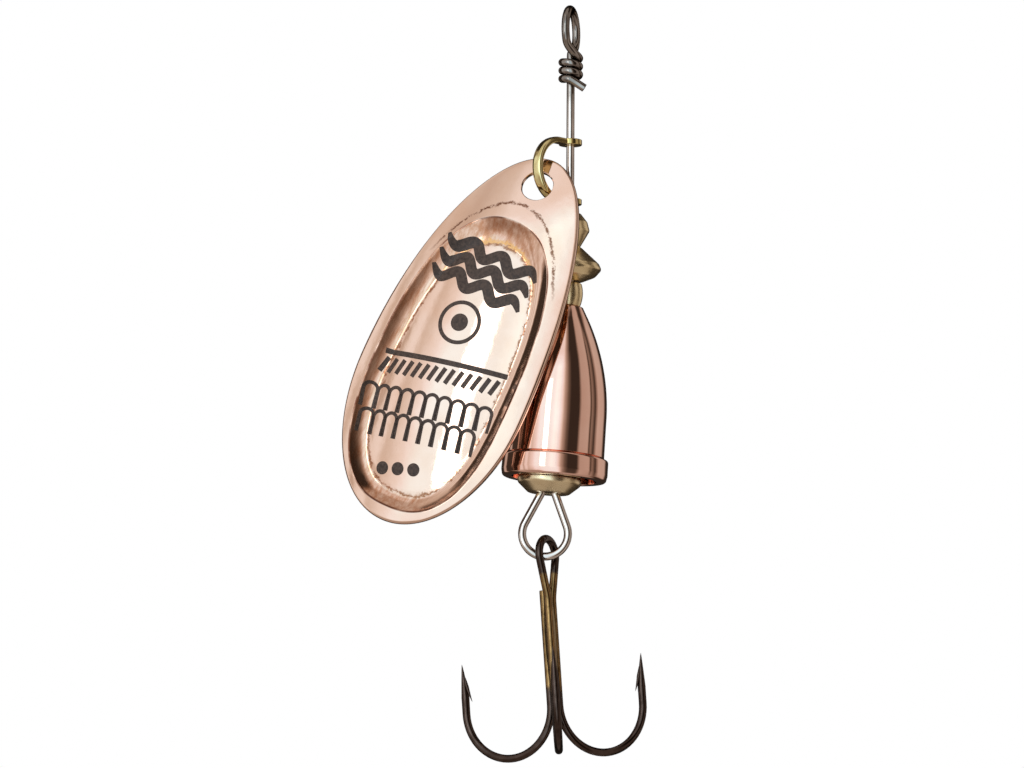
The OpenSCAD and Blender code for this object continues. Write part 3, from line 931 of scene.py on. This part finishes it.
def stroke(line, width, closed=False):
    """A flat ribbon of ink along a line of (x, y) points on the face."""
    line, width = dense(line, width, closed)
    if closed:
        along = np.roll(line, -1, 0) - np.roll(line, 1, 0)
    else:
        along = np.vstack([line[1:], line[-1:]]) - np.vstack([line[:1], line[:-1]])
    along /= np.linalg.norm(along, axis=1)[:, None]
    side = np.column_stack([-along[:, 1], along[:, 0]]) * np.reshape(width, (-1, 1)) / 2
    across = np.linspace(1, -1, 7)
    rows = np.stack([on_face(*(line + k * side).T, INK_T) for k in across]
                    + [on_face(*(line - k * side).T, -INK_T) for k in across], 1)
    return rings(rows, closed=closed)


def dot(x, y, radius):
    """A round spot of ink."""
    rows = []
    for lift, sizes in ((INK_T, (0.05, 0.35, 0.7, 1)), (-INK_T, (1, 0.7, 0.35, 0.05))):
        for k in sizes:
            edge = np.array(circle((x, y), k * radius, 0, 360, 24)[:-1])
            rows.append(on_face(*edge.T, lift))
    return rings(rows)


def turned(points, centre, angle=PRINT_SLANT):
    """Points round a centre, turned so that the print runs a little uphill."""
    return np.asarray(points) @ turn("Z", angle)[:2, :2].T + centre


def waves():
    """Three bold waves, one under the other, with thin ends; they run downhill."""
    x = np.linspace(-4.5, 4.5, 90)
    taper = 0.98 * np.clip((4.95 - np.abs(x)) / 1.4, 0.12, 1)
    return [stroke(turned(np.column_stack([x, row + 0.5 * np.sin(x * 2.2)]), WAVES_AT, -4), taper)
            for row in (-1.45, 0, 1.45)]


def ruled_bar():
    """A long bar with a slanted tick under it at every step."""
    bar = np.column_stack([np.linspace(-6.1, 5.3, 70), np.zeros(70)])
    marks = [stroke(turned(bar, BAR_AT), 0.46)]
    for x in np.arange(-5.7, 5.1, TICK_STEP):
        tick = np.column_stack([np.linspace(x, x - 0.55, 8), np.linspace(-0.5, -1.8, 8)])
        marks.append(stroke(turned(tick, BAR_AT), 0.4))
    return marks


def scales():
    """Two rows of arches with straight legs, the second set over by half a step."""
    marks = []
    for row, y in enumerate(SCALE_ROWS):
        for i in range(10 - row):
            x = -6.05 + SCALE_STEP * (i + row / 2)
            arch = circle((x, 0), SCALE_R, -10, 190, 18)
            arch = [(x + 0.52, -1.55)] + arch + [(x - 0.52, -1.55)]
            marks.append(stroke(turned(arch, (0.1, y)), 0.3))
    return marks


def make_print():
    ring = circle(RING_AT, RING_R, 0, 360, 72)[:-1]
    marks = waves() + [stroke(ring, 0.34, closed=True), dot(*RING_AT, SPOT_R)]
    marks += ruled_bar() + scales()
    for i in (-1, 0, 1):
        marks.append(dot(DOTS_AT[0] + DOT_STEP[0] * i, DOTS_AT[1] + DOT_STEP[1] * i, DOT_R))
    points, faces = merged(*marks)
    finish_piece(solid("blade_print", on_blade(points), faces), INK, "blade")


# ---- Beads and bell ----

def make_bead(node, bottom_r, outline):
    """A turned bead under the clevis; its outline gives radii, depths and roundings."""
    low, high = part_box(node)
    height = (high.z - low.z) / MM
    whole = [(BORE_R, 0, 0.05), *outline, (bottom_r, height, 0.1), (BORE_R, height, 0.05)]
    points, faces = lathe([(r, high.z / MM - depth) for r, depth in rounded(whole, 10)], 120)
    finish_piece(solid(node + "_turned", points, faces), BEAD_BRASS, node, [node])


def make_barrel_bead():
    """A bead with one bulging side, on top of the bell."""
    top = SEAT[2] - BARREL_GAP
    ends = degrees(asin(BARREL_HALF_H / BARREL_BULGE))
    side = circle((BARREL_R - BARREL_BULGE, -BARREL_HALF_H), BARREL_BULGE, ends - 1, 1 - ends, 16)
    bottom = -2 * BARREL_HALF_H
    outline = [(BORE_R, 0), (side[0][0] - 0.08, 0)] + side \
        + [(side[-1][0] - 0.08, bottom), (BORE_R, bottom)]
    points, faces = lathe([(r, top + z) for r, z in outline], 96)
    finish_piece(solid("barrel_bead_turned", on_lower_shaft(points), faces), BEAD_BRASS,
                 "barrel_bead", ["barrel_bead"])


def make_bell():
    """A turned shell: a long nose, a straight skirt, a groove, a rim and a stepped hollow."""
    nose = degrees(acos((NOSE_R - BELL_R + OGIVE_R) / OGIVE_R))
    side = circle((BELL_R - OGIVE_R, -SHOULDER), OGIVE_R, nose, 0, 40)
    groove, roof = BELL_H - RIM_H, BELL_H - CAVITY_H
    corners = [(BORE_R, 0, 0.08), (NOSE_R - 0.32, 0, 0.12), (side[0][0], -side[0][1], 0.25)]
    corners += [(r, -z, 0) for r, z in side[2:]]
    corners += [(BELL_R + 0.06, groove - 0.12, 0.04), (BELL_R - 0.1, groove - 0.03, 0.03),
                (BELL_R - 0.1, groove + 0.03, 0.02), (RIM_R - 0.03, groove + 0.02, 0.22),
                (RIM_R, BELL_H - 0.6, 0.5), (RIM_R - 0.12, BELL_H, 0.28), (MOUTH_R, BELL_H, 0.06),
                (MOUTH_R, BELL_H - MOUTH_H, 0.05), (CAVITY_R, BELL_H - MOUTH_H, 0.05),
                (CAVITY_R, roof + 2, 0.3), (2.1, roof, 0.3), (BORE_R, roof, 0.05)]
    points, faces = lathe([(r, BELL_TOP - d) for r, d in rounded(corners)], 160)
    finish_piece(solid("bell_shell", on_lower_shaft(points), faces), BELL_COPPER, "bell",
                 ["bell_body"], 40)


def make_bearing():
    """The bearing bead in the bell's mouth, with a slot for the two runs of wire."""
    bottom = BELL_BOTTOM - BEARING_OUT
    outline = rounded([(0.05, 0, 0), (1.2, 0, 0.1), (2.75, 1.75, 0.5), (2.72, 2.35, 0.45),
                       (1.75, BEARING_H, 0.45), (0.05, BEARING_H, 0)], 8)
    points, faces = lathe([(r, bottom + BEARING_H - d) for r, d in outline], 120)
    middle = np.array([-TAG_OFFSET / 2, 0, 0])
    obj = solid("bearing_bead_turned", on_lower_shaft(points + middle), faces)
    ends = (circle((SLOT_REACH, 0), BORE_R, -90, 90, 16)
            + circle((-SLOT_REACH, 0), BORE_R, 90, 270, 16))
    rows = [[(x, y, z) for x, y in ends] for z in (bottom - 1, bottom + BEARING_H + 1)]
    slot_points, slot_faces = rings(rows)
    carve(obj, solid("slot", on_lower_shaft(slot_points + middle), slot_faces))
    finish_piece(obj, BEARING_BRASS, "wire", ["bearing_bead"], 40)


# ---- The treble hook ----

# The middle of the three shanks
BUNDLE = SHANK_OFF / 2 * np.array([cos(radians(SINGLE_AZIMUTH)), sin(radians(SINGLE_AZIMUTH)), 0])


def on_hook_part(part):
    return on_hook(part[0]), part[1]


def on_point(azimuth, height, out=0):
    """A place on the arm at an azimuth, by its height above the base of the point."""
    reach = SHANK_OFF + 2 * HOOK_BEND_R + out
    up = SHANK_TOP - SHANK_H + POINT_BASE + height
    return BUNDLE + turn("Z", azimuth) @ np.array([reach, 0, up])


def needle_line(azimuth):
    """The middle line and radii of a ground point, a little fuller than a cone. It is ground from
    the inside, so it leans outwards."""
    up = np.linspace(0.25, 1, 16)
    radii = HOOK_R * np.clip((1 - up) / 0.75, 0, 1) ** 0.8 + 0.008
    lean = (HOOK_R - radii) * 0.45
    return [on_point(azimuth, h, o) for h, o in zip(up * POINT_H, lean)], list(radii)


def barb(azimuth):
    """The sliver that is cut up from the inner side of a point."""
    rows = []
    for t in np.linspace(0, 1, 14):
        height = BARB_TOP - BARB_L * t
        inward = -(0.08 + BARB_OUT * t ** 1.35)
        half_w = 0.2 * (1 - t) ** 0.6 * min(1, 0.3 + 2.5 * t) + 0.006
        half_t = 0.22 * (1 - t) ** 0.8 * min(1, 0.25 + 2 * t) + 0.006
        ring = []
        for a in np.radians(np.arange(16) * 22.5):
            centre = on_point(azimuth, height, inward + half_t * cos(a))
            ring.append(centre + turn("Z", azimuth) @ np.array([0, half_w * sin(a), 0]))
        rows.append(ring)
    return rings(rows)


def arm(first, steps, m, last_azimuth):
    """A bent wire that ends in the point at an azimuth: its middle line and its radii."""
    line, radii = needle_line(last_azimuth)
    path = bent(steps, first, m)
    return path + line, [HOOK_R] * len(path) + radii


def make_double_hook():
    """One wire: a point, a bend, up the shank, round the eye, and down to the second point."""
    first, second = EYE_AZIMUTH - 150, EYE_AZIMUTH - 30
    line, radii = needle_line(first)
    start = on_point(first, 0)
    body, body_radii = arm(start, [(POINT_BASE, HOOK_BEND_R, 180, 180),
                                   (SHANK_H, EYE_BEND_R, EYE_CLOSE, 150),
                                   (EYE_LEG, HOOK_EYE_R, 180 + 2 * EYE_CLOSE, 330),
                                   (EYE_LEG, EYE_BEND_R, EYE_CLOSE, 150),
                                   (SHANK_H, HOOK_BEND_R, 180, 180),
                                   (POINT_BASE, 0, 0, 0)], turn("Z", first) @ FLIP, second)
    wire = tube(line[::-1] + [start] + body, radii[::-1] + [HOOK_R] + body_radii, chamfer=0)
    obj = solid("double_hook_wire", *on_hook_part(wire))
    for azimuth in (first, second):
        carve(obj, solid("barb", *on_hook_part(barb(azimuth))), "UNION")
    finish_piece(obj, BRONZE, "hook", ["double_hook"], 40)


def make_single_hook():
    """The third hook, cut off at the top of its shank."""
    top = BUNDLE + turn("Z", SINGLE_AZIMUTH) @ np.array([SHANK_OFF, 0, SHANK_TOP - SINGLE_CUT])
    path, radii = arm(top, [(SHANK_H - SINGLE_CUT, HOOK_BEND_R, 180, 0), (POINT_BASE, 0, 0, 0)],
                      turn("Z", SINGLE_AZIMUTH) @ FLIP, SINGLE_AZIMUTH)
    lead = top + np.array([0, 0, -0.04])
    wire = tube([top, lead] + path, [HOOK_R - 0.04, HOOK_R] + radii, chamfer=0)
    obj = solid("single_hook_wire", *on_hook_part(wire))
    carve(obj, solid("barb", *on_hook_part(barb(SINGLE_AZIMUTH))), "UNION")
    finish_piece(obj, BRONZE, "hook", ["single_hook"], 40)


def make_braze():
    """Filler that has run into the three hollows between the shanks."""
    rows = []
    top, bottom = SHANK_TOP - SINGLE_CUT + 0.25, SHANK_TOP - SINGLE_CUT - BRAZE_H
    for t in np.linspace(0, 1, 40):
        full = sin(pi * min(max(t, 0.004), 0.996)) ** 0.18
        height = bottom + (top - bottom) * t
        ring = []
        for a in np.arange(48) * 7.5:
            hollow = 0.5 + 0.5 * cos(radians(3 * (a - SINGLE_AZIMUTH)))
            radius = (BRAZE_R + BRAZE_FILL * hollow) * full
            flat = radians(a)
            ring.append(BUNDLE + [radius * cos(flat), radius * sin(flat), height])
        rows.append(ring)
    finish_piece(solid("braze_fillets", *on_hook_part(rings(rows))), BRAZE, "hook",
                 ["braze"], 60)


make_wire()
make_clevis()
make_blade()
make_print()
make_bead("upper_bead", 0.85, [(0.93, 0, 0.12), (1.5, 0.75, 0.35), (1.69, 1.5, 0.3)])
make_bead("main_bead", 1.15, [(1, 0, 0.1), (2.5, 1.42, 0.4), (2.73, 1.9, 0.28), (2.2, 2.5, 0.6)])
make_barrel_bead()
make_bell()
make_bearing()
make_double_hook()
make_single_hook()
make_braze()


# ---- Studio ----

# Brightness of the tent by azimuth in degrees, from the front and positive to the right, at three
# levels: level with the lure, above it and below it
TENT_GAIN = 2.2
LEVEL = [(-146, 0.03), (-141, 0.5), (-133, 0.55), (-128, 0.05), (-98, 0.05), (-93, 0.9), (-88, 0.9),
         (-85, 0.62), (-80, 0.88), (-75, 0.86), (-72, 0.5), (-69, 0.85), (-64, 0.95), (-61, 0.7),
         (-50, 0.98), (-43, 1.5), (-16, 1.5), (-8, 1.75), (0, 1.6), (6, 1.05), (13, 0.5), (21, 0.16),
         (28, 0.04), (49, 0.04), (56, 0.5), (79, 0.55), (83, 0.05), (88, 0.3), (98, 0.04),
         (110, 0.6), (135, 0.55), (145, 0.03)]
HIGH = [(-180, 0.03), (-112, 0.03), (-100, 0.6), (-80, 0.74), (-64, 0.62), (-48, 0.74), (-36, 0.95),
        (4, 0.95), (12, 0.4), (22, 0.04), (47, 0.04), (54, 0.5), (80, 0.55), (90, 0.05)]
LOW = [(-180, 0.03), (-120, 0.04), (-100, 0.6), (-72, 0.4), (-55, 0.42), (-38, 0.5), (-25, 1.3),
       (4, 1.3), (16, 0.3), (26, 0.08), (46, 0.08), (56, 0.55), (90, 0.4), (110, 0.04)]
ROOF, GROUND = 0.6, 0.42
# Tint of the tent's light from dark to bright: warm in the gaps and cool in the panels
TENT_TINT = [(0, (0, 0, 0)), (0.2, (0.2, 0.16, 0.13)), (0.5, (0.5, 0.44, 0.4)),
             (0.7, (0.7, 0.68, 0.65)), (0.9, (0.9, 0.95, 1.0)), (1.1, (1.0, 1.13, 1.27)),
             (1.3, (1.02, 1.25, 1.42)), (1.5, (1.04, 1.34, 1.54)), (2.2, (1.5, 2.0, 2.2))]


def make_world():
    """A light tent: pale panels with dark gaps between them, which the metal mirrors."""
    world = bpy.data.worlds.new("light_tent")
    bpy.context.scene.world = world
    world.use_nodes = True
    tree = world.node_tree
    tree.nodes.clear()
    way = split(tree, add(tree, "TexCoord").outputs["Generated"])
    minus_y = maths(tree, "MULTIPLY", way["Y"], -1)
    azimuth = share_of(tree, maths(tree, "ARCTAN2", way["X"], minus_y), -pi, pi)
    elevation = share_of(tree, maths(tree, "ARCSINE", way["Z"]), -pi / 2, pi / 2)

    def panels(stops):
        return ramp(tree, azimuth, [((angle + 180) / 360, value / TENT_GAIN)
                                    for angle, value in stops])

    def between(first, last):
        return ramp(tree, elevation, [((first + 90) / 180, 0.0), ((last + 90) / 180, 1.0)])

    tent = blend(tree, between(-26, -10), panels(LOW), panels(LEVEL))
    tent = blend(tree, between(34, 42), tent, panels(HIGH))
    tent = blend(tree, between(62, 70), tent, (ROOF / TENT_GAIN,) * 3)
    tent = blend(tree, between(-50, -40), (GROUND / TENT_GAIN,) * 3, tent)
    tints = [(value / TENT_GAIN, [c / TENT_GAIN for c in colour]) for value, colour in TENT_TINT]
    glow = add(tree, "Background", Color=ramp(tree, tent, tints), Strength=TENT_GAIN)
    # The camera itself sees plain white
    white = add(tree, "Background", Color=(1, 1, 1, 1))
    mix = add(tree, "MixShader", Fac=add(tree, "LightPath").outputs["Is Camera Ray"])
    tree.links.new(glow.outputs[0], mix.inputs[1])
    tree.links.new(white.outputs[0], mix.inputs[2])
    add(tree, "OutputWorld", Surface=mix.outputs[0])


def add_light(name, azimuth, elevation, size, power, mirrored=False):
    """A soft panel that faces the middle of the lure; the metal mostly mirrors the tent."""
    middle = (cad_low + cad_high) / 2
    a, e = radians(azimuth), radians(elevation)
    way = Vector((sin(a) * cos(e), -cos(a) * cos(e), sin(e)))
    data = bpy.data.lights.new(name, "AREA")
    data.shape = "RECTANGLE"
    data.size, data.size_y = (side * MM for side in size)
    data.energy = power
    light = bpy.data.objects.new(name, data)
    light.location = middle + way * LIGHT_DISTANCE * MM
    light.rotation_euler = way.to_track_quat("Z", "Y").to_euler()
    light.visible_glossy = mirrored
    bpy.context.scene.collection.objects.link(light)


def make_floor():
    """A plain pale floor, well under the hanging lure."""
    edge = np.array(circle((0, 0), FLOOR_R, 0, 360, 96)[:-1])
    level = np.full((len(edge), 1), cad_low.z / MM - FLOOR_DROP)
    floor = solid("floor", np.hstack([edge, level]), [tuple(range(len(edge)))])
    floor.data.materials.append(matt("floor_paint", (0.86, 0.86, 0.85), 0.96))
    floor.visible_glossy = False


def make_camera():
    """Looks a little upwards at the lure from far off, with a slight roll."""
    up_by, roll = radians(VIEW_LOOKS_UP), radians(VIEW_ROLL)
    data = bpy.data.cameras.new("camera")
    data.lens = LENS
    data.sensor_width = SENSOR
    data.clip_start, data.clip_end = 50 * MM, 20000 * MM
    camera = bpy.data.objects.new("camera", data)
    forward = Vector((0, cos(up_by), sin(up_by)))
    right = Vector((1, 0, 0))
    up = right.cross(forward)
    tilted_right = right * cos(roll) + up * sin(roll)
    tilted_up = up * cos(roll) - right * sin(roll)
    facing = Matrix((tilted_right, tilted_up, -forward)).transposed()
    place_at = (Vector(VIEW_AIM) - forward * VIEW_DISTANCE) * MM
    camera.matrix_world = Matrix.Translation(place_at) @ facing.to_4x4()
    bpy.context.scene.collection.objects.link(camera)
    bpy.context.scene.camera = camera


make_world()
add_light("key_panel", -40, 35, (350, 500), 4)
add_light("side_panel", 75, 20, (200, 600), 2)
add_light("narrow_strip", -27, 8, (140, 500), 0.5, mirrored=True)
make_floor()
make_camera()
bpy.context.scene.view_settings.view_transform = "Standard"
